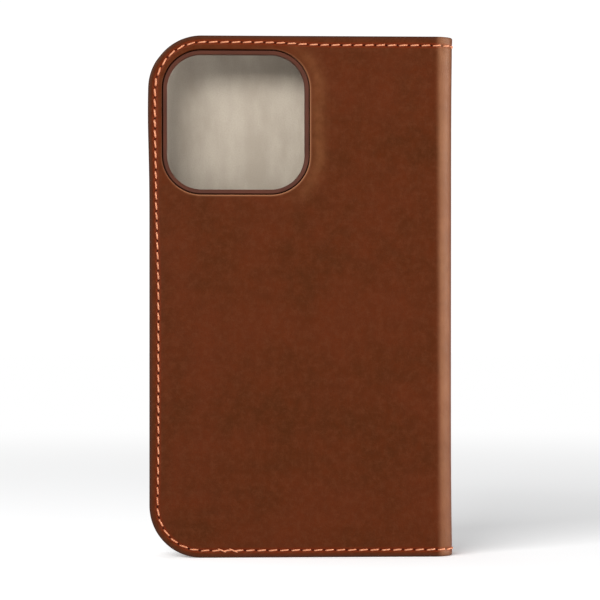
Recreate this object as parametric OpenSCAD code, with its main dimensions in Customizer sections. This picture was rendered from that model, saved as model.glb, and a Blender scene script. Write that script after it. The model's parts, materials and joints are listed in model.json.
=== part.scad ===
// Book-style wallet case for a phone: a leather cover wraps round a moulded tray.
// It stands on its lower edge. +Z is up, +X runs from the free edge to the spine, and +Y
// runs from the back panel, which has the camera window, to the front cover.
// The origin is under the middle of the closed case.

/* [Cover] */
// Height of the leather cover
cover_h = 152; // [152:0.5:156]
// Width of the closed case, from the free edge to the spine
cover_w = 89; // [88:0.5:94]
// Thickness of the closed case
cover_d = 18.2; // [18.1:0.1:21]
// Radius of the corners at the free edge
corner_r = 15.2; // [14:0.1:16]
// Outer radius of the two folds beside the spine
fold_r = 6; // [5:0.5:7]
// Thickness of the outer leather
leather_t = 1.2; // [1:0.1:1.4]
// Thickness of the stiffening boards
board_t = 0.6; // [0.4:0.1:0.8]
// Thickness of the lining over a board
lining_t = 0.3; // [0.2:0.1:0.4]

/* [Phone] */
// Width of the phone
phone_w = 70.6; // [68:0.1:71]
// Height of the phone
phone_h = 146.6; // [144:0.1:147]
// Thickness of the phone
phone_d = 8.25; // [7:0.05:8.3]
// Radius of the phone's corners, seen from the screen
phone_r = 11.6; // [9:0.1:12]

/* [Tray] */
// Thickness of the tray's side walls
tray_wall = 1.5; // [1.4:0.1:1.7]
// Thickness of the tray's floor
tray_floor = 1; // [0.8:0.1:1]
// Gap between the phone and each side wall
phone_gap = 0.4; // [0.3:0.05:0.4]
// How far the retaining bead stands in over the pocket
bead_reach = 0.35; // [0.1:0.05:0.35]

/* [Camera window] */
// Middle of the window, along X
window_x = -19.3; // [-19.4:0.1:-17]
// Middle of the window, along Z
window_z = 126.8; // [125:0.1:127]
// Width of the window in the leather
window_w = 43.1; // [42:0.1:44]
// Height of the window in the leather
window_h = 42.3; // [42:0.1:43]
// Corner radius of the window in the leather
window_r = 11.5; // [10:0.1:12]
// Width of the moulded bezel's face
bezel_face = 1.2; // [1:0.05:1.5]

/* [Wallet] */
// Width of a bank card
card_w = 54; // [54:0.1:55]
// Length of a bank card
card_h = 85.6; // [85:0.1:87]
// Gap behind each pocket panel while its slot is empty; the leather gives way to a card
card_gap = 0.35; // [0.3:0.01:0.37]
// Thickness of a pocket panel
panel_t = 0.45; // [0.4:0.01:0.47]
// Step between one card slot's edge and the next
slot_step = 8; // [6:0.5:8]
// How much of a card stands out of its slot
card_peek = 9.5; // [8:0.5:12]
// Height of the cash pocket's open edge
cash_top = 99; // [98:0.5:102]
// Height of a card's lower edge
card_low = 8.2; // [7:0.1:8.5]

/* [Seams] */
// Distance from the cover's edge to the middle of its seam
seam_inset = 2.2; // [2:0.1:2.5]
// Width of the thread
thread_w = 0.6; // [0.5:0.05:0.7]
// Depth of the thread's groove
thread_depth = 0.3; // [0.2:0.05:0.4]

/* [Hidden] */
$fn = 96;

leather = [0.37, 0.18, 0.09];
suede = [0.80, 0.74, 0.66];
moulding = [0.30, 0.15, 0.09];
thread = [0.93, 0.52, 0.28];
greyboard = [0.55, 0.52, 0.47];
steel = [0.70, 0.70, 0.72];

half_w = cover_w / 2;
half_d = cover_d / 2;
far = 60;                              // well past the case on any side
mid_z = cover_h / 2;
skin_t = leather_t + board_t + lining_t;
fold_x = half_w - fold_r;              // where the flat panels end and the folds begin
fold_gap = 0.3;                        // slit between two parts of the leather at a fold

// Tray, from the back panel to the front cover
free_margin = 1.2;                     // leather that shows beside the tray at the free edge
bond_t = 0.1;
tray_lining_t = 0.3;
tray_w = phone_w + 2 * (phone_gap + tray_wall);
tray_h = phone_h + 2 * (phone_gap + tray_wall);
tray_x0 = -half_w + free_margin;
tray_x1 = tray_x0 + tray_w;
tray_mid_x = (tray_x0 + tray_x1) / 2;
tray_r = phone_r + phone_gap + tray_wall;
tray_y0 = -half_d + skin_t + bond_t;
floor_y = tray_y0 + tray_floor;
seat_y = floor_y + tray_lining_t;
bead_y = seat_y + phone_d + 0.05;
bead_t = 0.6;
tray_y1 = bead_y + bead_t;
phone_mid_y = seat_y + phone_d / 2;

// Bezel
bezel_clear = 0.3;                     // gap between the leather and the bezel
bezel_sunk = 0.1;                      // the bezel's face lies this far below the leather
bezel_flange = 1.3;
bezel_flange_t = 0.5;

// Port slot in the tray's lower wall
port_w = 44;
port_h = 5.5;

// Buttons: middle height on the phone, measured down from its top, and length
phone_top = mid_z + phone_h / 2;
side_button_z = phone_top - 50.5;
side_button_l = 19;
volume_up_z = phone_top - 44.5;
volume_down_z = phone_top - 59;
volume_l = 11;
action_z = phone_top - 31.5;
action_l = 6.5;
button_w = 3;
button_clear = 0.15;
button_proud = 0.5;
button_flange = 0.7;
button_flange_t = 0.5;
button_recess = 0.8;
button_seat = 0.1;                     // the flange stands this far off its seat at rest

// Catches and magnets
catch_z = [44, 118];
catch_l = 12;
catch_t = 0.8;
catch_depth = 1.8;
magnet_w = 4;

// Boards
board_inset = 4.2;
board_x1 = tray_x1 - 2;
spine_board_w = cover_d - 2 * fold_r - 1;

// Wallet, from the lining towards the phone
pocket_y = half_d - skin_t;            // the front lining's inner face
cash_gap = 0.3;
cash_y = pocket_y - cash_gap - panel_t;
card_pitch = card_gap + panel_t;
cash_x0 = -half_w + 3.6;
cash_x1 = 28;
cash_z0 = 3.6;
cash_strip = 2;
card_x0 = -half_w + 5;
card_strip = 1.6;
card_room = 0.7;                       // spare room round a card
card_z0 = card_low - card_room;
card_z1 = card_low + card_h + card_room;
pocket_thread_t = 0.15;

// 2D outlines, drawn in the plane of a panel: x across, y up ------------------------------

module rounded(x0, z0, x1, z1, r) {
    translate([x0 + r, z0]) square([x1 - x0 - 2 * r, z1 - z0]);
    translate([x0, z0 + r]) square([x1 - x0, z1 - z0 - 2 * r]);
    for (x = [x0 + r, x1 - r], z = [z0 + r, z1 - r]) translate([x, z]) circle(r);
}

// The cover seen from the back, round at the free edge and open to the right
module cover_outline(inset) {
    r = corner_r - inset;
    translate([-half_w + corner_r, inset]) square([cover_w, cover_h - 2 * inset]);
    translate([-half_w + inset, corner_r]) square([corner_r, cover_h - 2 * corner_r]);
    for (z = [corner_r, cover_h - corner_r]) translate([-half_w + corner_r, z]) circle(r);
}

module seam_outline() {
    difference() {
        cover_outline(seam_inset - thread_w / 2);
        cover_outline(seam_inset + thread_w / 2);
    }
}

module window_outline(grow) {
    w = window_w / 2 + grow;
    h = window_h / 2 + grow;
    rounded(window_x - w, window_z - h, window_x + w, window_z + h, window_r + grow);
}

module tray_outline(inset) {
    rounded(tray_x0 + inset, mid_z - tray_h / 2 + inset,
            tray_x1 - inset, mid_z + tray_h / 2 - inset, tray_r - inset);
}

module stadium(length, width) {
    square([length - width, width], center = true);
    for (side = [-1, 1]) translate([side * (length - width) / 2, 0]) circle(width / 2, $fn = 48);
}

// Extrudes an outline in the plane of a panel from y0 to y1
module slab(y0, y1) {
    translate([0, y1, 0]) rotate([90, 0, 0]) linear_extrude(y1 - y0) children();
}

// 2D sections, drawn across the case: x across, y from back to front ----------------------

// The inside of the cover's wrap, inset from its outer face, and open at the free edge
module wrap(inset) {
    left = -half_w - 2 - 5 * inset;
    r = fold_r - inset;
    translate([left, -half_d + inset]) square([fold_x - left, cover_d - 2 * inset]);
    translate([fold_x - 1, -half_d + fold_r]) square([r + 1, cover_d - 2 * fold_r]);
    for (side = [-1, 1]) translate([fold_x, side * (half_d - fold_r)]) circle(r);
}

module layer(outer, inner) {
    difference() {
        wrap(outer);
        wrap(inner);
    }
}

// The two slits at 45 degrees through the folds part the cover into back, spine and front
module back_zone() {
    intersection() {
        translate([-2 * far, -far]) square([3 * far, far]);
        translate([fold_x, -half_d + fold_r]) rotate(45)
            translate([-4 * far - fold_gap / 2, -2 * far]) square([4 * far, 4 * far]);
    }
}

module front_zone() {
    mirror([0, 1]) back_zone();
}

module spine_zone() {
    intersection_for (side = [0, 1]) mirror([0, side])
        translate([fold_x, -half_d + fold_r]) rotate(45)
            translate([fold_gap / 2, -far]) square([2 * far, 2 * far]);
}

// Cover -----------------------------------------------------------------------------------

// One zone of one layer of the cover, cut to the cover's outline
module cover_part(outer, inner, inset) {
    intersection() {
        linear_extrude(cover_h) intersection() {
            layer(outer, inner);
            children();
        }
        slab(-far, far) cover_outline(inset);
    }
}

module seam(zone) {
    intersection() {
        linear_extrude(cover_h) intersection() {
            layer(0, thread_depth);
            if (zone == "back") back_zone();
            if (zone == "spine") spine_zone();
            if (zone == "front") front_zone();
        }
        slab(-far, far) seam_outline();
    }
}

// A board's outline, to the right as far as x1
module board_outline(x1) {
    intersection() {
        cover_outline(board_inset);
        translate([-far, 0]) square([far + x1, cover_h]);
    }
}

module back_leather() {
    color(leather) difference() {
        cover_part(0, leather_t, 0) back_zone();
        seam("back");
        slab(-far, 0) window_outline(0);
    }
}

module back_board_solid() {
    slab(-half_d + leather_t, -half_d + leather_t + board_t) difference() {
        board_outline(board_x1);
        window_outline(1.5);
    }
}

module back_board() {
    color(greyboard) back_board_solid();
}

module back_lining() {
    color(suede) difference() {
        cover_part(leather_t, skin_t, 0.3) back_zone();
        back_board_solid();
        slab(-far, 0) window_outline(0.1);
    }
}

module back_stitching() {
    color(thread) seam("back");
}

module spine_leather() {
    color(leather) difference() {
        cover_part(0, leather_t, 0) spine_zone();
        seam("spine");
    }
}

module spine_board_solid() {
    translate([half_w - leather_t - board_t, -spine_board_w / 2, board_inset])
        cube([board_t, spine_board_w, cover_h - 2 * board_inset]);
}

module spine_board() {
    color(greyboard) spine_board_solid();
}

module spine_lining() {
    color(suede) difference() {
        cover_part(leather_t, skin_t, 0.3) spine_zone();
        spine_board_solid();
    }
}

module spine_stitching() {
    color(thread) seam("spine");
}

module front_leather() {
    color(leather) difference() {
        cover_part(0, leather_t, 0) front_zone();
        seam("front");
    }
}

// One magnet, as thick as the board that it is let into
module magnet_bar(z) {
    translate([-half_w + board_inset + 0.5, half_d - leather_t - board_t, z - catch_l / 2])
        cube([magnet_w, board_t, catch_l]);
}

module front_board_blank() {
    slab(half_d - leather_t - board_t, half_d - leather_t) board_outline(board_x1);
}

module front_board() {
    color(greyboard) difference() {
        front_board_blank();
        for (z = catch_z) magnet_bar(z);
    }
}

module closure_magnet_lower() { color(steel) magnet_bar(catch_z[0]); }
module closure_magnet_upper() { color(steel) magnet_bar(catch_z[1]); }

// The run of thread that shows on the inside of the front cover
module front_inner_run() {
    slab(pocket_y, pocket_y + thread_depth / 2) intersection() {
        seam_outline();
        translate([-far, 0]) square([far + fold_x, cover_h]);
    }
}

module front_lining() {
    color(suede) difference() {
        cover_part(leather_t, skin_t, 0.3) front_zone();
        front_board_blank();
        front_inner_run();
    }
}

module front_stitching() {
    color(thread) {
        seam("front");
        front_inner_run();
    }
}

// Tray ------------------------------------------------------------------------------------

module bonding_sheet() {
    color("ivory") slab(tray_y0 - bond_t, tray_y0) difference() {
        tray_outline(2);
        window_outline(2.5);
    }
}

module button_hole(z, side) {
    x_out = side < 0 ? tray_x0 : tray_x1;
    translate([x_out, phone_mid_y, z]) rotate([0, side * 90, 0]) {
        children();
    }
}

// The slot for one button, with the recess for its flange on the inner side of the wall
module button_cut(z, length, side) {
    room = button_flange + button_clear;
    button_hole(z, side) {
        translate([0, 0, -tray_wall - 1]) linear_extrude(tray_wall + 2)
            stadium(length + 2 * button_clear, button_w + 2 * button_clear);
        translate([0, 0, -tray_wall - 0.01]) linear_extrude(button_recess + 0.01)
            stadium(length + 2 * room, button_w + 2 * room);
    }
}

// A press-through cap: its face stands out of the wall and its flange keeps it in
module button(z, length, side) {
    flange_top = -tray_wall + button_recess - button_seat;
    color(moulding) button_hole(z, side) {
        translate([0, 0, flange_top - button_flange_t])
            linear_extrude(button_proud - flange_top + button_flange_t) stadium(length, button_w);
        translate([0, 0, flange_top - button_flange_t]) linear_extrude(button_flange_t)
            stadium(length + 2 * button_flange, button_w + 2 * button_flange);
    }
}

module side_button() { button(side_button_z, side_button_l, -1); }
module volume_up_button() { button(volume_up_z, volume_l, 1); }
module volume_down_button() { button(volume_down_z, volume_l, 1); }
module action_button() { button(action_z, action_l, 1); }

// One steel plate, let into the rim of the tray opposite its magnet
module catch_bar(z) {
    translate([tray_x0 + (tray_wall - catch_t) / 2, tray_y1 - catch_depth, z - catch_l / 2])
        cube([catch_t, catch_depth, catch_l]);
}

module catch_plate_lower() { color(steel) catch_bar(catch_z[0]); }
module catch_plate_upper() { color(steel) catch_bar(catch_z[1]); }

module port_cut() {
    translate([tray_mid_x, phone_mid_y, mid_z - tray_h / 2 - 1]) linear_extrude(tray_wall + 2)
        stadium(port_w, port_h);
}

module tray_shell() {
    color(moulding) difference() {
        slab(tray_y0, tray_y1) tray_outline(0);
        slab(floor_y, bead_y) tray_outline(tray_wall);
        slab(bead_y - 0.01, far) tray_outline(tray_wall + bead_reach);
        slab(-far, 0) window_outline(-bezel_clear);
        slab(floor_y - bezel_flange_t, 0) window_outline(bezel_flange - bezel_clear);
        port_cut();
        button_cut(side_button_z, side_button_l, -1);
        button_cut(volume_up_z, volume_l, 1);
        button_cut(volume_down_z, volume_l, 1);
        button_cut(action_z, action_l, 1);
        for (z = catch_z) catch_bar(z);
    }
}

module tray_lining() {
    color(suede) slab(floor_y, seat_y) difference() {
        tray_outline(tray_wall + 0.3);
        window_outline(bezel_flange - bezel_clear + 0.9);
    }
}

module camera_bezel() {
    color(moulding) difference() {
        union() {
            slab(-half_d + bezel_sunk, floor_y) window_outline(-bezel_clear);
            slab(floor_y - bezel_flange_t, floor_y) window_outline(bezel_flange - bezel_clear);
        }
        slab(-far, 0) window_outline(-bezel_clear - bezel_face);
    }
}

// Wallet ----------------------------------------------------------------------------------

// A block in the plane of the front cover
module block(x0, x1, z0, z1, y0, y1) {
    translate([x0, y0, z0]) cube([x1 - x0, y1 - y0, z1 - z0]);
}

// The cash pocket's panel: round at the cover's lower corner, and cut straight along its open top
module cash_outline(inset) {
    intersection() {
        rounded(cash_x0 + inset, cash_z0 + inset, cash_x1 + 20, cash_top + 20, corner_r - cash_z0 - inset);
        translate([-far, 0]) square([far + cash_x1 - inset, cash_top + inset]);
    }
}

module cash_pocket_panel() {
    color(leather) slab(cash_y, cash_y + panel_t) cash_outline(0);
}

// One strip round three sides holds the cash panel off the lining, and leaves it open at the top
module cash_pocket_strip() {
    color(leather) slab(cash_y + panel_t, pocket_y) difference() {
        cash_outline(0);
        cash_outline(cash_strip);
    }
}

// Card slots are numbered from the phone's side: 1 is the narrowest and lies on top
function card_y(n) = cash_y - (4 - n) * card_pitch;
function card_end(n) = card_x0 + card_strip + (n - 1) * slot_step;
function slot_x(n) = card_end(n) + card_w + card_room - card_peek;

module card_panel(n) {
    color(leather) slab(card_y(n), card_y(n) + panel_t)
        rounded(card_x0, card_z0 - card_strip, slot_x(n), card_z1 + card_strip, 1);
}

// Three straight strips round a card: at its end, and above and below it
module card_strips(n) {
    y0 = card_y(n) + panel_t;
    y1 = y0 + card_gap;
    color(leather) {
        block(card_x0, card_end(n), card_z0, card_z1, y0, y1);
        for (z = [card_z0 - card_strip, card_z1])
            block(card_x0, slot_x(n) - 1, z, z + card_strip, y0, y1);
    }
}

module card_panel_1() { card_panel(1); }
module card_panel_2() { card_panel(2); }
module card_panel_3() { card_panel(3); }
module card_strips_1() { card_strips(1); }
module card_strips_2() { card_strips(2); }
module card_strips_3() { card_strips(3); }

// Thread on the card panels: along their strips, and down the closed end
module card_stitching() {
    y1 = card_y(1);
    y0 = y1 - pocket_thread_t;
    w = thread_w / 2;
    edge = card_strip / 2;
    color(thread) {
        block(card_x0 + edge - w, card_x0 + edge + w, card_z0 - edge, card_z1 + edge, y0, y1);
        for (z = [card_z0 - edge, card_z1 + edge])
            block(card_x0 + edge + w, slot_x(1) - 1, z - w, z + w, y0, y1);
    }
}

back_leather();
back_board();
back_lining();
back_stitching();
bonding_sheet();
tray_shell();
tray_lining();
camera_bezel();
catch_plate_lower();
catch_plate_upper();
spine_leather();
spine_board();
spine_lining();
spine_stitching();
front_leather();
front_board();
front_lining();
front_stitching();
closure_magnet_lower();
closure_magnet_upper();
cash_pocket_panel();
cash_pocket_strip();
card_panel_1();
card_panel_2();
card_panel_3();
card_strips_1();
card_strips_2();
card_strips_3();
card_stitching();
side_button();
volume_up_button();
volume_down_button();
action_button();
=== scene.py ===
"""Looks of a leather wallet case for a phone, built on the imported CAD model.

The cover is one piece of leather that wraps from the back panel round the spine to the front.
It is laid out flat first: u runs from the free edge to the middle of the spine, z runs up, and
n is the height above the outer face. wrap() then bends that sheet round the case. The rear half
and the front half are two pieces that meet in the middle of the spine.
"""

import json
import math

import bmesh
import bpy
import numpy as np
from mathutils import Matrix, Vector
from mathutils.geometry import delaunay_2d_cdt
from mathutils.kdtree import KDTree

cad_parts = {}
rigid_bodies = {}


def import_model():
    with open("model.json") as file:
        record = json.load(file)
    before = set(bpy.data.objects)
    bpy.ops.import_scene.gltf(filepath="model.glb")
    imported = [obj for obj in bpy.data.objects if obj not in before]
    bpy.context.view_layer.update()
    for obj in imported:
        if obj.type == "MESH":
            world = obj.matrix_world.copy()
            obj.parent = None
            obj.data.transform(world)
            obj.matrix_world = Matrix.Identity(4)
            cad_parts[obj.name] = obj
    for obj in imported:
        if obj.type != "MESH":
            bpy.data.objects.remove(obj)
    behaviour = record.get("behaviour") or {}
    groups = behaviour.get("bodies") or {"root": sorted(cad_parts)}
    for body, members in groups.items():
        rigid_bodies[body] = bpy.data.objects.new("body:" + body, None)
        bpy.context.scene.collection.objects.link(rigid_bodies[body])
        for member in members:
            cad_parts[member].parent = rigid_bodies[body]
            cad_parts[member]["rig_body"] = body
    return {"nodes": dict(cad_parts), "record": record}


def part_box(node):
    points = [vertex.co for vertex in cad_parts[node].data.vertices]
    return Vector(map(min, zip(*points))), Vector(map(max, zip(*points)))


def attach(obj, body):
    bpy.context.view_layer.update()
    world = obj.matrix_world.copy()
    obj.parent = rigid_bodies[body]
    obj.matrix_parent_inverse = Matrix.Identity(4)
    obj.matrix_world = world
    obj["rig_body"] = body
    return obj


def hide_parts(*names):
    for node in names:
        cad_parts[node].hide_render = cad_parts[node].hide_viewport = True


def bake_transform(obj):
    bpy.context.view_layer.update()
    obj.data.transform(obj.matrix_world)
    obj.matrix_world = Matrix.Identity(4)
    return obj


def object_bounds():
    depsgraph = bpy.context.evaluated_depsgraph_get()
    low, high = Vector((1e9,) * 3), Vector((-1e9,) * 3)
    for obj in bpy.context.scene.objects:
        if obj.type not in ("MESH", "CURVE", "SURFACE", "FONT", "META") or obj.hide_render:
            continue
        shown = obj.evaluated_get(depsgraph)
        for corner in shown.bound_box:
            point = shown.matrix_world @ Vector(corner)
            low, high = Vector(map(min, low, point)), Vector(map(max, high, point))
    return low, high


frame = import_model()
NODES = frame["nodes"]
CAD_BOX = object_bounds()

# ---------------------------------------------------------------- sizes, in metres
MM = 0.001
HALF_W = CAD_BOX[1].x
HALF_D = CAD_BOX[1].y
HEIGHT = CAD_BOX[1].z

# The CAD's own sizes, which its boxes don't give
CORNER_R = 15.2 * MM
FOLD_R = 6 * MM
LEATHER_T = 1.2 * MM
SKIN_T = 2.1 * MM  # leather, board and lining
WINDOW_R = 11.5 * MM
BEZEL_FLANGE = 1.3 * MM
BEZEL_GAP = 0.3 * MM

FOLD_X = HALF_W - FOLD_R
FLAT_U = FOLD_X + HALF_W  # where the flat panel ends and the fold begins
ARC_U = FOLD_R * math.pi / 2
END_U = FLAT_U + ARC_U + HALF_D - FOLD_R  # the middle of the spine

BEZEL_LOW, BEZEL_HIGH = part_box("camera_bezel")
WINDOW_X = (BEZEL_LOW.x + BEZEL_HIGH.x) / 2
WINDOW_Z = (BEZEL_LOW.z + BEZEL_HIGH.z) / 2
WINDOW_W = BEZEL_HIGH.x - BEZEL_LOW.x - 2 * (BEZEL_FLANGE - BEZEL_GAP)
WINDOW_H = BEZEL_HIGH.z - BEZEL_LOW.z - 2 * (BEZEL_FLANGE - BEZEL_GAP)

WAIST = 0.35 * MM  # how far the spine is drawn in at half height
BULGE = 0.45 * MM  # how far the narrow strip beside the window stands out
BULGE_Z = 130 * MM  # the height where it stands out most

SHORT_PITCH = 2.9 * MM  # down the free edge, and round the pockets
LONG_PITCH = 3.2 * MM  # along the top and the bottom
TACK_FROM, TACK_TO = 17 * MM, 29 * MM  # the stretch of the lower edge that is sewn back over
TRAY_END_U = 77 * MM  # the inner side of the seam shows past here, where the tray ends
STITCH_SHARE = 0.8  # how much of the pitch a stitch covers
STITCH_LEAN = 0.13 * MM  # how far a stitch's ends stand off the seam's line
POCKET_LEAN = 0.12 * MM
STITCH_CROWN = 0.16 * MM  # how far the middle of a stitch rises over its ends
STITCH_SUNK = 0.10 * MM  # how deep a whole stitch sits in its groove
STITCH_DIP = 0.3 * MM  # how far its ends dive into their holes
THREAD_R = 0.25 * MM
PLY_DEPTH = 0.16  # how deep the twist of the thread is cut, as a share of its radius


# ---------------------------------------------------------------- flat layout of the cover
def smooth(x):
    """Rises smoothly from 0 to 1 as x goes from 0 to 1, and stays level outside that."""
    x = np.clip(x, 0, 1)
    return x * x * (3 - 2 * x)


def edge_distance(u, z):
    """Distance in from the cover's edge: the top, the bottom and the rounded free edge."""
    dz = np.minimum(z, HEIGHT - z)
    corner = CORNER_R - np.hypot(np.maximum(CORNER_R - u, 0), np.maximum(CORNER_R - dz, 0))
    in_corner = (u < CORNER_R) & (dz < CORNER_R)
    return np.where(in_corner, corner, np.minimum(u, dz))


def window_distance(u, z):
    """Distance out from the camera window's edge."""
    qx = np.abs(u - HALF_W - WINDOW_X) - WINDOW_W / 2 + WINDOW_R
    qz = np.abs(z - WINDOW_Z) - WINDOW_H / 2 + WINDOW_R
    return np.hypot(np.maximum(qx, 0), np.maximum(qz, 0)) + np.minimum(np.maximum(qx, qz), 0) - WINDOW_R


def resample(points, step):
    """The same path with points an equal step apart."""
    points = np.array(points)
    length = np.concatenate([[0], np.cumsum(np.hypot(*np.diff(points, axis=0).T))])
    at = np.linspace(0, length[-1], max(2, round(length[-1] / step) + 1))
    return np.stack([np.interp(at, length, points[:, i]) for i in (0, 1)], axis=1)


def arc(centre, radius, start, stop, count=24):
    """Points on an arc. start and stop are in degrees."""
    angles = np.radians(np.linspace(start, stop, count))
    return [(centre[0] + radius * math.cos(a), centre[1] + radius * math.sin(a)) for a in angles]


def edge_path(inset):
    """The cover's outline moved in by inset, from the spine along the top and round to the spine."""
    r = CORNER_R - inset
    top = arc((CORNER_R, HEIGHT - CORNER_R), r, 90, 180)
    bottom = arc((CORNER_R, CORNER_R), r, 180, 270)
    return [(END_U, HEIGHT - inset), *top, *bottom, (END_U, inset)]


def window_path(out):
    """The window's outline moved out by out, as a closed loop."""
    r = WINDOW_R + out
    w, h = WINDOW_W / 2 - WINDOW_R, WINDOW_H / 2 - WINDOW_R
    u, z = WINDOW_X + HALF_W, WINDOW_Z
    loop = []
    for start, side_u, side_z in ((0, 1, 1), (90, -1, 1), (180, -1, -1), (270, 1, -1)):
        loop += arc((u + side_u * w, z + side_z * h), r, start, start + 90)
    return loop + loop[:1]


def strip_bulge(u, z):
    """How far the free edge stands out beside the window."""
    beside = np.exp(-(((z - BULGE_Z) / (15 * MM)) ** 2))
    return BULGE * beside * (1 - smooth((u - 1.5 * MM) / (2 * MM)))


def wrap(u, z, n, side):
    """Bends the flat layout round the case. side is -1 for the rear half and 1 for the front."""
    angle = np.clip((u - FLAT_U) / FOLD_R, 0, math.pi / 2)
    waist = WAIST * smooth((u - FLAT_U) / ARC_U) * (1 - np.abs(2 * z / HEIGHT - 1) ** 5)
    reach = FOLD_R + n - waist
    x = np.minimum(u - HALF_W, FOLD_X) + reach * np.sin(angle)
    if side < 0:
        x = x - strip_bulge(u, z)
    y = HALF_D - FOLD_R + reach * np.cos(angle) - np.maximum(u - FLAT_U - ARC_U, 0)
    return np.stack([x, side * y, z], axis=1)


def unit_noise(u, z, seed, waves=7):
    """Slow waves between -1 and 1, for leather that isn't quite flat."""
    rng = np.random.default_rng(seed)
    total = np.zeros_like(u)
    for _ in range(waves):
        turn, phase = rng.uniform(0, 2 * math.pi, 2)
        length = rng.uniform(28, 70) * MM
        total += np.sin(2 * math.pi / length * (u * math.cos(turn) + z * math.sin(turn)) + phase)
    return total / waves


# ---------------------------------------------------------------- seams
def pitch_at(z):
    """Stitches are a little shorter down the free edge than along the top and the bottom."""
    return SHORT_PITCH if CORNER_R < z < HEIGHT - CORNER_R else LONG_PITCH


def seam_inset(u, z):
    """The seam runs nearer the edge round the window, where there is little room for it."""
    heights = [0, 30, 80, 104, 152]  # in millimetres, as are the insets
    insets = [2.1, 2.6, 2.6, 1.95, 1.95]
    past_window = 0.7 * MM * smooth((u - 32 * MM) / (20 * MM))
    return np.interp(z / MM, heights, insets) * MM + np.where(z > HEIGHT / 2, past_window, 0)


def seam_path():
    """The seam's line, from the spine along the top and round to the spine."""
    outline = resample(edge_path(0), 0.1 * MM)
    ahead = np.gradient(outline, axis=0)
    ahead /= np.linalg.norm(ahead, axis=1)[:, None]
    inward = np.stack([-ahead[:, 1], ahead[:, 0]], axis=1)
    return outline + inward * seam_inset(*outline.T)[:, None]


def holes_along(path):
    """Needle holes, one pitch apart."""
    holes, run = [path[0]], 0.0
    for a, b in zip(path, path[1:]):
        run += math.dist(a, b)
        if run >= pitch_at(b[1]):
            holes.append(b)
            run = 0.0
    return np.array(holes)


SEAM_LINE = seam_path()
SEAM = holes_along(SEAM_LINE)


def nearest(u, z, points):
    """Distance from each (u, z) to the nearest of some points."""
    tree = KDTree(len(points))
    for i, (pu, pz) in enumerate(points):
        tree.insert((pu, pz, 0), i)
    tree.balance()
    return np.array([tree.find((a, b, 0))[2] for a, b in zip(u, z)])


def stitch(start, end, lean, place, rings=11, sides=12):
    """One twisted stitch from hole to hole. place(u, z, n) gives its points in space."""
    start, end = np.array(start), np.array(end)
    along = (end - start) / np.linalg.norm(end - start)
    across = np.array([-along[1], along[0]])
    reach = np.linalg.norm(end - start) * STITCH_SHARE
    middle = (start + end) / 2
    points, faces = [], []
    for i in range(rings):
        t = i / (rings - 1) * 2 - 1  # -1 at one end and 1 at the other
        swell = max(0.12, (1 - abs(t) ** 5) ** 0.5)
        lift = STITCH_CROWN * (1 - t ** 4) - STITCH_SUNK - STITCH_DIP * abs(t) ** 9
        for k in range(sides):
            turn = 2 * math.pi * k / sides
            ply = 1 - PLY_DEPTH + PLY_DEPTH * abs(math.cos(1.5 * turn + 3.2 * t))
            r = THREAD_R * swell * ply
            flat = middle + along * t * reach / 2 + across * (t * lean + r * math.cos(turn))
            points.append((flat[0], flat[1], lift + r * math.sin(turn)))
    for i in range(rings - 1):
        for k in range(sides):
            a, b = i * sides + k, i * sides + (k + 1) % sides
            faces.append((a, b, b + sides, a + sides))
    faces.append(tuple(range(sides)))
    faces.append(tuple(range((rings - 1) * sides, rings * sides))[::-1])
    u, z, n = np.array(points).T
    return place(u, z, n), faces


def seam_piece(name, pairs, lean, place, mirrored):
    """One object that holds every stitch of a seam. pairs are the holes that each stitch joins."""
    verts, faces = [], []
    for start, end in pairs:
        points, quads = stitch(start, end, lean, place)
        faces += [tuple(len(verts) + i for i in q) for q in quads]
        verts += [tuple(p) for p in points]
    return piece(name, verts, faces, THREAD, flip=mirrored)


# ---------------------------------------------------------------- mesh pieces
def piece(name, verts, faces, material, flip=False):
    """A smooth-shaded mesh object."""
    mesh = bpy.data.meshes.new(name)
    mesh.from_pydata(verts, [], faces)
    if flip:
        mesh.flip_normals()
    mesh.validate()
    mesh.shade_smooth()
    mesh.set_sharp_from_angle(angle=math.radians(50))
    mesh.materials.append(material)
    return linked(name, mesh)


def linked(name, data):
    """A new object in the scene."""
    obj = bpy.data.objects.new(name, data)
    bpy.context.scene.collection.objects.link(obj)
    return obj


def layout_points(inset, edge_steps, window_steps, grid, along):
    """Points and edges of the flat layout, denser towards its edges.

    edge_steps and window_steps are how far each row of points lies from the edge and from the
    window, grid is the pitch of the points elsewhere, and along is the pitch along a row.
    """
    points, links = [], []

    def add_chain(path, keep):
        previous = None
        for p, kept in zip(path, keep):
            if kept:
                points.append(tuple(p))
                if previous:
                    links.append((len(points) - 2, len(points) - 1))
            previous = kept

    for step in edge_steps:
        path = resample(edge_path(inset + step), along)
        add_chain(path, np.ones(len(path), bool))
    band = inset + edge_steps[-1]
    for step in window_steps:
        path = resample(window_path(step), along)
        u, z = path.T
        add_chain(path, (edge_distance(u, z) > band + 0.1 * MM) | (step == window_steps[0]))
    # closer columns where the sheet bends round the fold
    fold = np.arange(FLAT_U - 1 * MM, END_U - 0.2 * MM, 0.5 * MM)
    columns = np.concatenate([np.arange(0, FLAT_U - 1.5 * MM, grid), fold, [END_U]])
    rows = np.arange(0, HEIGHT, grid)
    u, z = (a.ravel() for a in np.meshgrid(columns, rows))
    keep = edge_distance(u, z) > band + 0.4 * MM
    if window_steps:
        keep &= window_distance(u, z) > window_steps[-1] + 0.4 * MM
    points += list(zip(u[keep], z[keep]))
    return points, links


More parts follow.
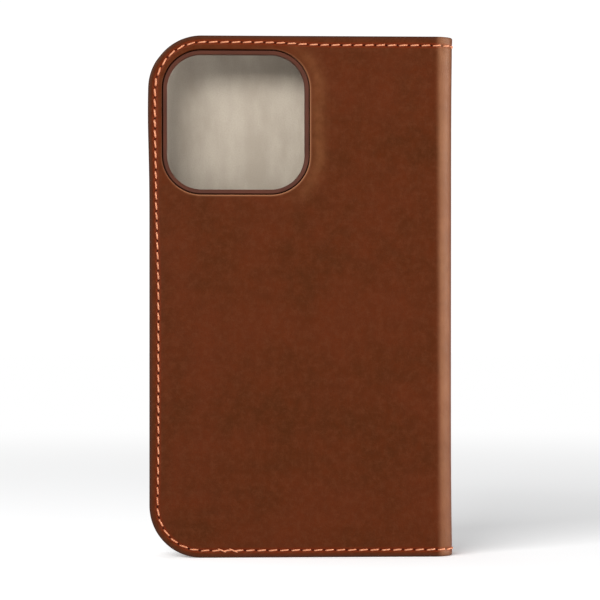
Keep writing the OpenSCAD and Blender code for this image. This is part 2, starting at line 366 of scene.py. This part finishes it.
def cut_sheet(inset, edge_steps, window_steps, grid, along):
    """Triangles over the flat layout, cut to the cover's edge and to the window."""
    points, links = layout_points(inset, edge_steps, window_steps, grid, along)
    scaled = [Vector((u / MM, z / MM)) for u, z in points]
    flat, _, triangles, *_ = delaunay_2d_cdt(scaled, links, [], 0, 1e-5)
    u, z = np.array([(p.x * MM, p.y * MM) for p in flat]).T
    triangles = np.array(triangles)
    middle_u, middle_z = u[triangles].mean(axis=1), z[triangles].mean(axis=1)
    inside = edge_distance(middle_u, middle_z) > inset
    if window_steps:
        inside &= window_distance(middle_u, middle_z) > window_steps[0]
    return u, z, triangles[inside]


def closed_faces(triangles, count):
    """Faces of the outer sheet, of the inner one, and of the rim that joins them.

    The inner sheet's points come count places after the outer sheet's.
    """
    edges = {}
    for a, b, c in triangles:
        edges.update({(a, b): True, (b, c): True, (c, a): True})
    faces = [tuple(t) for t in triangles]
    faces += [(c + count, b + count, a + count) for a, b, c in triangles]
    faces += [(b, a, a + count, b + count) for a, b in edges if (b, a) not in edges]
    return faces


def shell(name, side, inset, outer, inner, steps, window, grid, along, material):
    """A closed sheet over half of the cover. outer(u, z) and inner(u, z) are its two heights."""
    u, z, triangles = cut_sheet(inset, steps, window, grid, along)
    high, low = outer(u, z), inner(u, z)
    verts = np.concatenate([wrap(u, z, high, side), wrap(u, z, low, side)])
    faces = closed_faces(triangles, len(u))
    obj = piece(name, verts.tolist(), faces, material, flip=side > 0)
    store_layout(obj.data, u, z, np.concatenate([high, low]), side)
    store_wear_and_painted_light(obj.data, u, z, bool(window))
    tidy_loose(obj.data)
    return obj


def store_layout(mesh, u, z, heights, side):
    """Keeps each point's place in the flat layout, which the materials are laid out on."""
    across = u if side < 0 else 2 * END_U - u  # the grain runs on over the middle of the spine
    place = np.stack([np.tile(across, 2), heights, np.tile(z, 2)], axis=1)
    layout = mesh.attributes.new("layout", "FLOAT_VECTOR", "POINT")
    layout.data.foreach_set("vector", place.ravel())


def store_wear_and_painted_light(mesh, u, z, window):
    """Keeps what the leather's colour depends on, for both faces of the sheet: real wear, and the masks
    of painted shade and painted highlight.
    """
    fields = {
        "edge_mm": edge_distance(u, z) / MM,
        "seam_mm": nearest(u, z, SEAM_LINE) / MM,
        "hole_mm": nearest(u, z, SEAM) / MM,
        "fold": fold_paling_and_highlight(u, z),
        "stretch": window_pull_and_highlight(u, z) if window else np.zeros_like(u),
        "lip_highlight": window_lip_highlight(u, z) if window else np.zeros_like(u),
    }
    for name, values in fields.items():
        field = mesh.attributes.new(name, "FLOAT", "POINT")
        field.data.foreach_set("value", np.tile(values, 2))


def tidy_loose(mesh):
    """Removes the points that no face uses."""
    bm = bmesh.new()
    bm.from_mesh(mesh)
    bmesh.ops.delete(bm, geom=[v for v in bm.verts if not v.link_faces], context="VERTS")
    bm.to_mesh(mesh)
    bm.free()


def fold_paling_and_highlight(u, z):
    """How much the leather pales at the fold: partly real paling of pull-up leather where it bends,
    partly a painted highlight of the light on the right, wider and brighter towards the top, less
    towards the bottom.
    """
    past = u - FLAT_U
    up = z / HEIGHT
    starts = smooth((past - (0.9 - 0.7 * up) * MM) / (2 * MM))
    ends = 1 - 0.7 * smooth((past - 5 * MM) / (3 * MM))
    return starts * ends * (0.85 + 0.15 * smooth(up / 0.4))


def window_pull_and_highlight(u, z):
    """1 where the leather is drawn down into the window, on the side towards the spine: partly paler
    stretched pull-up leather, partly a painted highlight on the slope there.
    """
    away = window_distance(u, z) / MM
    right = smooth((u - HALF_W - WINDOW_X) / (WINDOW_W / 2) - 0.55)
    return right * np.exp(-(((away - 2.4) / 1.9) ** 2))


def window_lip_highlight(u, z):
    """1 on the window's rounded edge, most of all below the window and on its spine side, where the
    edge faces the lights: a painted highlight.
    """
    away = window_distance(u, z) / MM
    right = (u - HALF_W - WINDOW_X) / WINDOW_W
    up = (z - WINDOW_Z) / WINDOW_H
    return np.exp(-((away / 0.28) ** 2)) * smooth(0.5 + right - up)


def rounded_edge(distance, radius):
    """How far a rounded edge falls below the face, distance in from it."""
    run = np.clip(radius - distance, 0, radius)
    return np.sqrt(np.maximum(radius ** 2 - run ** 2, 0)) - radius


def softened(node, width, material):
    """A copy of a CAD node with rounded edges, that stands for it."""
    bm = bmesh.new()
    bm.from_mesh(NODES[node].data)
    bmesh.ops.remove_doubles(bm, verts=bm.verts, dist=1e-6)
    bmesh.ops.dissolve_limit(bm, angle_limit=math.radians(0.4), verts=bm.verts, edges=bm.edges)
    inner_edges = [e for e in bm.edges if len(e.link_faces) == 2]
    edges = [e for e in inner_edges if e.calc_face_angle() > math.radians(30)]
    bmesh.ops.bevel(bm, geom=edges, offset=width, segments=3, profile=0.5, affect="EDGES",
                    clamp_overlap=True)
    bmesh.ops.triangulate(bm, faces=[f for f in bm.faces if len(f.verts) > 4])
    mesh = bpy.data.meshes.new("soft_" + node)
    bm.to_mesh(mesh)
    bm.free()
    mesh.shade_smooth()
    mesh.set_sharp_from_angle(angle=math.radians(40))
    mesh.materials.clear()
    mesh.materials.append(material)
    obj = linked("soft_" + node, mesh)
    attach(obj, NODES[node]["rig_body"])
    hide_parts(node)
    return obj


def slot_of(node):
    """The material slot that the record gives a node."""
    return next(s["material_slot"] for s in frame["record"]["subparts"] if s["node"] == node)


# ---------------------------------------------------------------- materials
LEATHER = {  # base colours, in linear light
    "deep": (0.042, 0.0092, 0.0018),
    "warm": (0.059, 0.0112, 0.0029),
    "red": (0.075, 0.0126, 0.0028),
    "pore": (0.046, 0.0088, 0.0024),
    "bloom": (0.078, 0.0210, 0.0076),
    "rust": (0.112, 0.0130, 0.0026),
    "burnished": (0.036, 0.0125, 0.0075),
    # painted shade for the needle holes
    "hole": (0.012, 0.0016, 0.0010),
    # partly pale pull-up leather, partly a painted highlight on the spine's fold
    "fold_pale_and_highlight": (0.235, 0.104, 0.050),
    # partly pale stretched leather, partly a painted highlight beside the window
    "stretched": (0.19, 0.072, 0.026),
    # painted highlight on the window's rounded edge
    "lip_highlight": (0.36, 0.155, 0.075),
}


class Shader:
    """A short way to write a node material. Sizes are in millimetres."""

    def __init__(self, name, coordinates="object"):
        """coordinates is "object", or the name of a stored attribute."""
        self.material = bpy.data.materials.new(name)
        self.material.use_nodes = True
        self.tree = self.material.node_tree
        self.surface = self.tree.nodes["Principled BSDF"]
        if coordinates == "object":
            self.place = self.tree.nodes.new("ShaderNodeTexCoord").outputs["Object"]
        else:
            self.place = self.attribute(coordinates, "Vector")

    def attribute(self, name, output="Fac"):
        """A value stored on the mesh's points."""
        node = self.tree.nodes.new("ShaderNodeAttribute")
        node.attribute_name = name
        return node.outputs[output]

    def link(self, value, socket):
        """Links a socket to another, or sets it to a constant."""
        if isinstance(value, bpy.types.NodeSocket):
            self.tree.links.new(value, socket)
        else:
            socket.default_value = value

    def noise(self, size_mm, detail=3, rough=0.55, stretch=(1, 1, 1)):
        """Cloudy noise from 0 to 1."""
        node = self.tree.nodes.new("ShaderNodeTexNoise")
        node.inputs["Scale"].default_value = 1 / (size_mm * MM)
        node.inputs["Detail"].default_value = detail
        node.inputs["Roughness"].default_value = rough
        self.link(self.stretched(stretch), node.inputs["Vector"])
        return node.outputs["Fac"]

    def cells(self, size_mm):
        """Distance from the middle of the nearest cell."""
        node = self.tree.nodes.new("ShaderNodeTexVoronoi")
        node.inputs["Scale"].default_value = 1 / (size_mm * MM)
        self.link(self.place, node.inputs["Vector"])
        return node.outputs["Distance"]

    def stretched(self, by):
        """The coordinates, scaled along each axis."""
        if by == (1, 1, 1):
            return self.place
        node = self.tree.nodes.new("ShaderNodeMapping")
        node.inputs["Scale"].default_value = by
        self.link(self.place, node.inputs["Vector"])
        return node.outputs["Vector"]

    def ramp(self, value, low, high, to_low=0.0, to_high=1.0):
        """Goes smoothly from to_low to to_high as value goes from low to high."""
        node = self.tree.nodes.new("ShaderNodeMapRange")
        node.interpolation_type = "SMOOTHSTEP"
        settings = {"Value": value, "From Min": low, "From Max": high, "To Min": to_low,
                    "To Max": to_high}
        for socket, number in settings.items():
            self.link(number, node.inputs[socket])
        return node.outputs["Result"]

    def mix(self, share, a, b):
        """Colour a where share is 0, and b where it is 1."""
        node = self.tree.nodes.new("ShaderNodeMix")
        node.data_type = "RGBA"
        self.link(share, node.inputs["Factor"])
        for value, socket in ((a, node.inputs[6]), (b, node.inputs[7])):
            self.link(value if isinstance(value, bpy.types.NodeSocket) else (*value, 1), socket)
        return node.outputs[2]

    def maths(self, how, a, b):
        """One sum on two values."""
        node = self.tree.nodes.new("ShaderNodeMath")
        node.operation = how
        self.link(a, node.inputs[0])
        self.link(b, node.inputs[1])
        return node.outputs[0]

    def bump(self, height, depth_mm):
        """A normal that follows height, which is depth_mm deep at 1."""
        node = self.tree.nodes.new("ShaderNodeBump")
        node.inputs["Distance"].default_value = depth_mm * MM
        self.link(height, node.inputs["Height"])
        return node.outputs["Normal"]

    def finish(self, colour, roughness, normal, **constants):
        """Links the surface, sets its other sockets, and gives the material."""
        self.link(colour, self.surface.inputs["Base Color"])
        self.link(roughness, self.surface.inputs["Roughness"])
        self.link(normal, self.surface.inputs["Normal"])
        for key, value in constants.items():
            self.surface.inputs[key.replace("_", " ")].default_value = value
        return self.material


def leather_material(name, coordinates):
    """Smooth pull-up leather: mottled, finely pored, and with a slight pale bloom."""
    s = Shader(name, coordinates)
    mottle = s.ramp(s.noise(26, 4), 0.32, 0.68)
    patches = s.ramp(s.noise(6, 5, 0.65), 0.35, 0.7, 0, 0.4)
    grain = s.noise(0.55, 4, 0.6)
    bloom = s.ramp(s.noise(2.2, 5, 0.8), 0.42, 0.68, 0, 0.5)
    colour = s.mix(mottle, LEATHER["deep"], LEATHER["warm"])
    colour = s.mix(patches, colour, LEATHER["red"])
    colour = s.mix(s.ramp(grain, 0.52, 0.75, 0, 0.3), colour, LEATHER["pore"])
    colour = s.mix(bloom, colour, LEATHER["bloom"])
    if coordinates == "layout":
        colour = wear_and_painted_light(s, colour)
    pores = s.ramp(s.cells(0.9), 0.0, 0.35)
    rough = s.ramp(s.noise(3.5, 4), 0.3, 0.7, 0.38, 0.50)
    height = s.maths("ADD", s.maths("MULTIPLY", grain, 0.7), s.maths("MULTIPLY", pores, 0.3))
    return s.finish(colour, rough, s.bump(height, 0.05),
                    Specular_IOR_Level=0.12, Specular_Tint=(1, 0.6, 0.38, 1))


def wear_and_painted_light(s, colour):
    """Rust along the seam and a dark edge, with painted shade in the needle holes, a pale fold that is
    partly painted highlight, and painted highlights beside the window and on its edge.
    """
    seam, edge, hole = s.attribute("seam_mm"), s.attribute("edge_mm"), s.attribute("hole_mm")
    fold = s.maths("MULTIPLY", s.attribute("fold"), s.ramp(s.noise(9, 3), 0.3, 0.75, 0.34, 0.50))
    stretch = s.maths("MULTIPLY", s.attribute("stretch"), s.ramp(s.noise(4, 3), 0.3, 0.7, 0.25, 0.6))
    lip_highlight = s.maths("MULTIPLY", s.attribute("lip_highlight"), 0.9)
    colour = s.mix(s.ramp(seam, 1.0, 0.3, 0, 0.75), colour, LEATHER["rust"])
    colour = s.mix(s.ramp(edge, 1.3, 0.2, 0, 0.8), colour, LEATHER["burnished"])
    # painted shade in the needle holes
    colour = s.mix(s.ramp(hole, 0.42, 0.22, 0, 0.92), colour, LEATHER["hole"])
    # the fold's colour is partly real paling, partly a painted highlight
    colour = s.mix(fold, colour, LEATHER["fold_pale_and_highlight"])
    # the stretch mask is partly real pale leather, partly a painted highlight on the window's slope
    colour = s.mix(stretch, colour, LEATHER["stretched"])
    # painted highlight on the window's rounded edge
    return s.mix(lip_highlight, colour, LEATHER["lip_highlight"])


def suede_material(name, coordinates, dark, light):
    """Brushed suede with a short nap."""
    s = Shader(name, coordinates)
    nap = s.noise(0.35, 5, 0.7)
    brushed = s.noise(8, 3, 0.5, (1, 1, 0.4))
    colour = s.mix(s.ramp(brushed, 0.35, 0.65), dark, light)
    colour = s.mix(s.ramp(nap, 0.4, 0.75, 0, 0.45), colour, tuple(0.75 * c for c in dark))
    rough = s.ramp(nap, 0.3, 0.7, 0.85, 0.98)
    return s.finish(colour, rough, s.bump(nap, 0.08), Specular_IOR_Level=0.15, Sheen_Weight=0.25)


def moulded_material(name, dark, light):
    """Matt moulded plastic with a fine speckled face."""
    s = Shader(name)
    speck = s.noise(0.25, 3)
    colour = s.mix(s.ramp(s.noise(9, 3), 0.3, 0.7), dark, light)
    rough = s.ramp(s.noise(2.5, 3), 0.3, 0.7, 0.5, 0.62)
    return s.finish(colour, rough, s.bump(speck, 0.02), Specular_IOR_Level=0.15)


def thread_material(name):
    """Waxed thread: pale where the ply stands up, deep orange between, with fine fibres."""
    s = Shader(name)
    strand = s.noise(0.22, 3, 0.6)
    dye = s.noise(6, 2)
    colour = s.mix(s.ramp(strand, 0.35, 0.68), (0.37, 0.095, 0.032), (0.63, 0.30, 0.165))
    colour = s.mix(s.ramp(dye, 0.3, 0.75, 0, 0.35), colour, (0.40, 0.108, 0.035))
    rough = s.ramp(strand, 0.3, 0.7, 0.5, 0.7)
    return s.finish(colour, rough, s.bump(strand, 0.05), Specular_IOR_Level=0.4)


def plain_material(name, dark, light, size_mm, roughness, metallic=0.0):
    """A finely mottled material, for board, film and metal."""
    s = Shader(name)
    grain = s.noise(size_mm, 4)
    colour = s.mix(s.ramp(grain, 0.3, 0.7), dark, light)
    rough = s.ramp(grain, 0.3, 0.7, roughness - 0.08, roughness + 0.08)
    return s.finish(colour, rough, s.bump(grain, 0.03), Metallic=metallic)


COVER = leather_material("cover_leather", "layout")
POCKET = leather_material("pocket_leather", "object")
SUEDE = ((0.37, 0.315, 0.25), (0.45, 0.39, 0.315))
LINING = suede_material("lining_suede", "layout", *SUEDE)
PAD = suede_material("pad_suede", "object", *SUEDE)
MOULDING = moulded_material("moulding", (0.047, 0.0120, 0.0052), (0.062, 0.0158, 0.0068))
THREAD = thread_material("waxed_thread")
BOARD = plain_material("greyboard", (0.22, 0.20, 0.17), (0.32, 0.30, 0.26), 0.8, 0.85)
STEEL = plain_material("plated_steel", (0.55, 0.55, 0.57), (0.68, 0.68, 0.70), 0.3, 0.3, 1.0)
FILM = plain_material("adhesive_film", (0.60, 0.59, 0.55), (0.70, 0.69, 0.65), 1.2, 0.5)


# ---------------------------------------------------------------- the cover
def leather_height(window):
    """The outer face of the leather: round edges, a groove for the seam, and needle holes."""

    def height(u, z):
        d = edge_distance(u, z)
        h = rounded_edge(d, 0.5 * MM)
        h -= 0.16 * MM * np.exp(-((nearest(u, z, SEAM_LINE) / (0.5 * MM)) ** 2))
        h -= 0.30 * MM * np.exp(-((nearest(u, z, SEAM) / (0.34 * MM)) ** 2))
        h += 0.05 * MM * unit_noise(u, z, 4) * smooth((d - 3 * MM) / (8 * MM))
        if window:
            away = window_distance(u, z)
            right = smooth((u - HALF_W - WINDOW_X) / (WINDOW_W / 2))
            dip = (0.10 + 0.30 * right) * MM  # deepest on the window's spine side
            h += rounded_edge(away, 0.4 * MM)
            h -= dip * (1 - smooth(away / ((3 + 4 * right) * MM)))
        return h

    return height


def level(depth):
    """A flat face at one depth below the outer face."""
    return lambda u, z: np.full_like(u, -depth)


def across_fold(obj, side):
    """Bakes the half's place into its mesh; the rear half and the front half are handled alike."""
    if side < 0:
        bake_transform(obj)
    else:
        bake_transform(obj)


# Rows of points this far from the edge and the window, for the leather and for the lining
EDGE_STEPS = [k * MM for k in (0, 0.06, 0.15, 0.28, 0.5, 0.9, 1.4, 1.8, 2.1, 2.3, 2.5, 2.7, 2.9, 3.2)]
WINDOW_STEPS = [k * MM for k in (0, 0.06, 0.15, 0.28, 0.45, 0.8, 1.4, 2.2, 3.2, 4.6, 6.2)]
LINING_STEPS = [k * MM for k in (0, 0.1, 0.3, 1.2)]
LINING_WINDOW_STEPS = [k * MM for k in (0.1, 0.3, 1.2)]
SIDES = ((-1, "rear"), (1, "front"))


def make_cover():
    """The leather and its lining, each in two halves that meet in the middle of the spine."""
    for side, half in SIDES:
        rear = side < 0
        skin = shell("leather_" + half, side, inset=0,
                     outer=leather_height(rear), inner=level(LEATHER_T),
                     steps=EDGE_STEPS, window=WINDOW_STEPS if rear else [],
                     grid=2.4 * MM, along=0.55 * MM, material=COVER)
        nodes = ["back_leather", "spine_leather"] if rear else ["front_leather"]
        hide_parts(*nodes)
        across_fold(skin, side)
        lining = shell("lining_" + half, side, inset=0.3 * MM,
                       outer=level(LEATHER_T + 0.01 * MM), inner=level(SKIN_T),
                       steps=LINING_STEPS, window=LINING_WINDOW_STEPS if rear else [],
                       grid=4 * MM, along=1.5 * MM, material=LINING)
        nodes = ["back_lining", "spine_lining"] if rear else ["front_lining"]
        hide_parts(*nodes)
        across_fold(lining, side)


def placer(side, base=0, out=1):
    """Puts a stitch on a face of the cover, base above its outer face. out is -1 for the inside."""
    return lambda u, z, n: wrap(u, z, base + out * n, side)


def make_seams():
    """The seam round the cover, outside and inside, and the stretch that is sewn back over it."""
    pairs = list(zip(SEAM, SEAM[1:]))
    for side, half in SIDES:
        rear = side < 0
        seam = seam_piece("stitches_" + half, pairs, STITCH_LEAN, placer(side), not rear)
        nodes = ["back_stitching", "spine_stitching"] if rear else ["front_stitching"]
        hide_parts(*nodes)
        across_fold(seam, side)
        # the tray hides most of the rear half's inner run, so that part is left out
        shown = [p for p in pairs if not rear or min(p[0][0], p[1][0]) > TRAY_END_U]
        inside = placer(side, -SKIN_T, -1)
        inner = seam_piece("inner_stitches_" + half, shown, STITCH_LEAN, inside, rear)
        across_fold(inner, side)
        if rear:
            make_back_tack()


def make_back_tack():
    """A short second row on the lower edge, between the first row's holes and leaning across it."""
    middles = (SEAM[:-1] + SEAM[1:]) / 2
    sewn_back = [m for m in middles if m[1] < CORNER_R and TACK_FROM < m[0] < TACK_TO]
    pairs = list(zip(sewn_back, sewn_back[1:]))
    back_tack = seam_piece("back_tack", pairs, -4 * STITCH_LEAN, placer(-1, 0.1 * MM), False)
    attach(back_tack, "back")


# ---------------------------------------------------------------- bezel, tray, buttons
def swept_ring(name, path, profile, material):
    """Sweeps a closed profile round a closed flat path. profile is (out from the path, y) points."""
    path = np.array(path[:-1])
    ahead = np.roll(path, -1, axis=0) - np.roll(path, 1, axis=0)
    ahead /= np.linalg.norm(ahead, axis=1)[:, None]
    out = np.stack([ahead[:, 1], -ahead[:, 0]], axis=1)
    verts, faces = [], []
    for p, o in zip(path, out):
        verts += [(p[0] - HALF_W + o[0] * d, y, p[1] + o[1] * d) for d, y in profile]
    count, size = len(path), len(profile)
    for i in range(count):
        for k in range(size):
            here, there = i * size, (i + 1) % count * size
            after = (k + 1) % size
            faces.append((here + k, here + after, there + after, there + k))
    return piece(name, verts, faces, material)


def rounded_profile(corners, radius, count=4):
    """A closed profile with every corner rounded."""
    result = []
    corners = [np.array(c) for c in corners]
    for before, corner, after in zip(corners[-1:] + corners[:-1], corners, corners[1:] + corners[:1]):
        a = corner + (before - corner) / np.linalg.norm(before - corner) * radius
        b = corner + (after - corner) / np.linalg.norm(after - corner) * radius
        for t in np.linspace(0, 1, count):
            result.append(tuple((1 - t) ** 2 * a + 2 * t * (1 - t) * corner + t ** 2 * b))
    return result


def make_bezel():
    """The moulded ring in the window: a rounded face, and a flange let into the tray's floor."""
    face_y, back_y = BEZEL_LOW.y, BEZEL_HIGH.y
    outer = -BEZEL_GAP - 0.05 * MM
    inner = -BEZEL_GAP - 1.2 * MM
    flange = BEZEL_FLANGE - BEZEL_GAP
    flange_y = back_y - 0.5 * MM
    corners = [(inner, face_y + 0.15 * MM), (outer, face_y), (outer, flange_y),
               (flange, flange_y), (flange, back_y), (inner, back_y)]
    ring = swept_ring("bezel_ring", window_path(0), rounded_profile(corners, 0.2 * MM), MOULDING)
    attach(ring, "back")
    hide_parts("camera_bezel")


def make_tray():
    """The tray, its pad and the four caps."""
    softened("tray_shell", 0.22 * MM, MOULDING)
    softened("tray_lining", 0.1 * MM, PAD)
    for name in ("side_button", "volume_up_button", "volume_down_button", "action_button"):
        softened(name, 0.18 * MM, MOULDING)


# ---------------------------------------------------------------- wallet
def make_wallet():
    """The pockets in the front cover, and the seams that hold them."""
    softened("cash_pocket_panel", 0.18 * MM, POCKET)
    for n in (1, 2, 3):
        softened(f"card_panel_{n}", 0.18 * MM, POCKET)
    make_card_seam()
    make_cash_seam()


def pairs_along(path):
    """The two holes of each stitch along a path."""
    holes = resample(path, SHORT_PITCH)
    return list(zip(holes, holes[1:]))


def make_card_seam():
    """Down the closed end of the card slots, and along their top and bottom, stepping with them."""
    boxes = [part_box(f"card_panel_{n}") for n in (1, 2, 3)]
    low, high = boxes[0]
    inset = 0.8 * MM
    left, bottom, top = low.x + inset, low.z + inset, high.z - inset
    mouths = [b[1].x for b in boxes]  # each panel's open edge
    levels = [b[0].y for b in boxes]  # each panel's face

    def place(x, z, n):
        y = np.full_like(x, levels[2])
        y[x < mouths[1]] = levels[1]
        y[x < mouths[0]] = levels[0]
        return np.stack([x, y - n, z], axis=1)

    def over_step(a, b):
        return any(a[0] - 0.2 * MM < m < b[0] + 0.2 * MM for m in mouths)

    closed_end = [(left, bottom), (left, top)]
    along_bottom = [(left, bottom), (mouths[2], bottom)]
    along_top = [(left, top), (mouths[2], top)]
    pairs = []
    for path in (closed_end, along_bottom, along_top):
        pairs += [pair for pair in pairs_along(path) if not over_step(*pair)]
    seam = seam_piece("card_seam", pairs, POCKET_LEAN, place, False)
    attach(seam, "front")
    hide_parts("card_stitching")


def make_cash_seam():
    """Round the cash pocket's three closed sides."""
    low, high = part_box("cash_pocket_panel")
    inset = 1 * MM
    r = CORNER_R - 3.6 * MM - inset
    x0, x1, z0, z1 = low.x + inset, high.x - inset, low.z + inset, high.z
    path = [(x0, z1), *arc((x0 + r, z0 + r), r, 180, 270), (x1, z0), (x1, z1)]

    def place(x, z, n):
        return np.stack([x, low.y - n, z], axis=1)

    seam = seam_piece("cash_seam", pairs_along(path), POCKET_LEAN, place, False)
    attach(seam, "front")


def paint_kept_nodes():
    """The CAD nodes that stay as they are get a material for their slot."""
    by_slot = {"greyboard": BOARD, "steel": STEEL, "adhesive": FILM, "pocket_leather": POCKET}
    for name, obj in NODES.items():
        if not obj.hide_render:
            obj.data.materials.clear()
            obj.data.materials.append(by_slot[slot_of(name)])


# ---------------------------------------------------------------- studio
WHITE = (1, 1, 1, 1)


def area_light(name, place, aim, size, power):
    """A soft rectangular light of some watts, turned to a point."""
    data = bpy.data.lights.new(name, "AREA")
    data.shape = "RECTANGLE"
    data.size, data.size_y = size
    data.energy = power
    obj = linked(name, data)
    obj.location = place
    obj.rotation_euler = (Vector(aim) - Vector(place)).to_track_quat("-Z", "Y").to_euler()
    return obj


def keep_off(light, obj):
    """Stops a light falling on one object, as a flag would in a studio."""
    shaded = bpy.data.collections.new(light.name + "_flag")
    shaded.objects.link(obj)
    shaded.collection_objects[0].light_linking.link_state = "EXCLUDE"
    light.light_linking.receiver_collection = shaded


def emission(tree, kind, colour, strength):
    """A node that gives off light: an emission shader or a background."""
    node = tree.nodes.new(kind)
    node.inputs["Color"].default_value = colour
    node.inputs["Strength"].default_value = strength
    return node.outputs[0]


def blended(tree, share, a, b, output):
    """Shows shader a where share is 0, and b where it is 1."""
    mix = tree.nodes.new("ShaderNodeMixShader")
    tree.links.new(share, mix.inputs[0])
    tree.links.new(a, mix.inputs[1])
    tree.links.new(b, mix.inputs[2])
    tree.links.new(mix.outputs[0], output.inputs["Surface"])


def make_floor():
    """A pale floor that brightens to white away from the case."""
    s = Shader("floor")
    length = s.tree.nodes.new("ShaderNodeVectorMath")
    length.operation = "LENGTH"
    s.link(s.place, length.inputs[0])
    fade = s.ramp(length.outputs["Value"], 0.15, 0.8)
    s.finish((0.92, 0.92, 0.92, 1), 0.9, s.bump(s.noise(3), 0.02), Specular_IOR_Level=0.0,
             Emission_Color=WHITE, Emission_Strength=0.32)
    glow = emission(s.tree, "ShaderNodeEmission", WHITE, 1)
    blended(s.tree, fade, s.surface.outputs[0], glow, s.tree.nodes["Material Output"])
    bpy.ops.mesh.primitive_circle_add(vertices=96, radius=3, fill_type="NGON",
                                      location=(0, 0, -0.05 * MM))
    floor = bpy.context.object
    floor.name = "floor"
    floor.data.materials.append(s.material)
    return floor


def make_world():
    """White behind the case, and a dimmer soft light from all round."""
    world = bpy.data.worlds.new("studio")
    bpy.context.scene.world = world
    world.use_nodes = True
    tree = world.node_tree
    tree.nodes.clear()
    seen = tree.nodes.new("ShaderNodeLightPath").outputs["Is Camera Ray"]
    soft = emission(tree, "ShaderNodeBackground", (0.95, 0.97, 1.0, 1), 0.12)
    white = emission(tree, "ShaderNodeBackground", WHITE, 1.05)
    blended(tree, seen, soft, white, tree.nodes.new("ShaderNodeOutputWorld"))


def make_studio():
    """A wide light at the front left, one for the spine's bright line, and a weak one above."""
    floor = make_floor()
    make_world()
    area_light("key", (-0.60, -1.0, 0.62), (0, 0, 0.07), (0.95, 0.45), 20)
    right = area_light("right", (0.62, -0.14, 0.14), (0.04, 0, 0.08), (0.6, 0.5), 11)
    area_light("top", (-0.25, 0.1, 1.1), (0, 0, 0.07), (0.8, 0.8), 3)
    keep_off(right, floor)
    view = bpy.context.scene.view_settings
    view.view_transform = "Standard"
    view.look = "None"


def make_camera():
    """A long lens, level with the case's middle and 3 degrees towards its free edge."""
    data = bpy.data.cameras.new("camera")
    data.sensor_width = 36
    data.lens = 160.8
    camera = linked("camera", data)
    turn = math.radians(-3)
    distance = 0.79
    aim = Vector((-0.2 * MM, 0, HEIGHT / 2 - 1.0 * MM))
    camera.location = aim + distance * Vector((math.sin(turn), -math.cos(turn), 0))
    camera.rotation_euler = (aim - camera.location).to_track_quat("-Z", "Y").to_euler()
    bpy.context.scene.camera = camera


make_cover()
make_seams()
make_bezel()
make_tray()
make_wallet()
paint_kept_nodes()
make_studio()
make_camera()
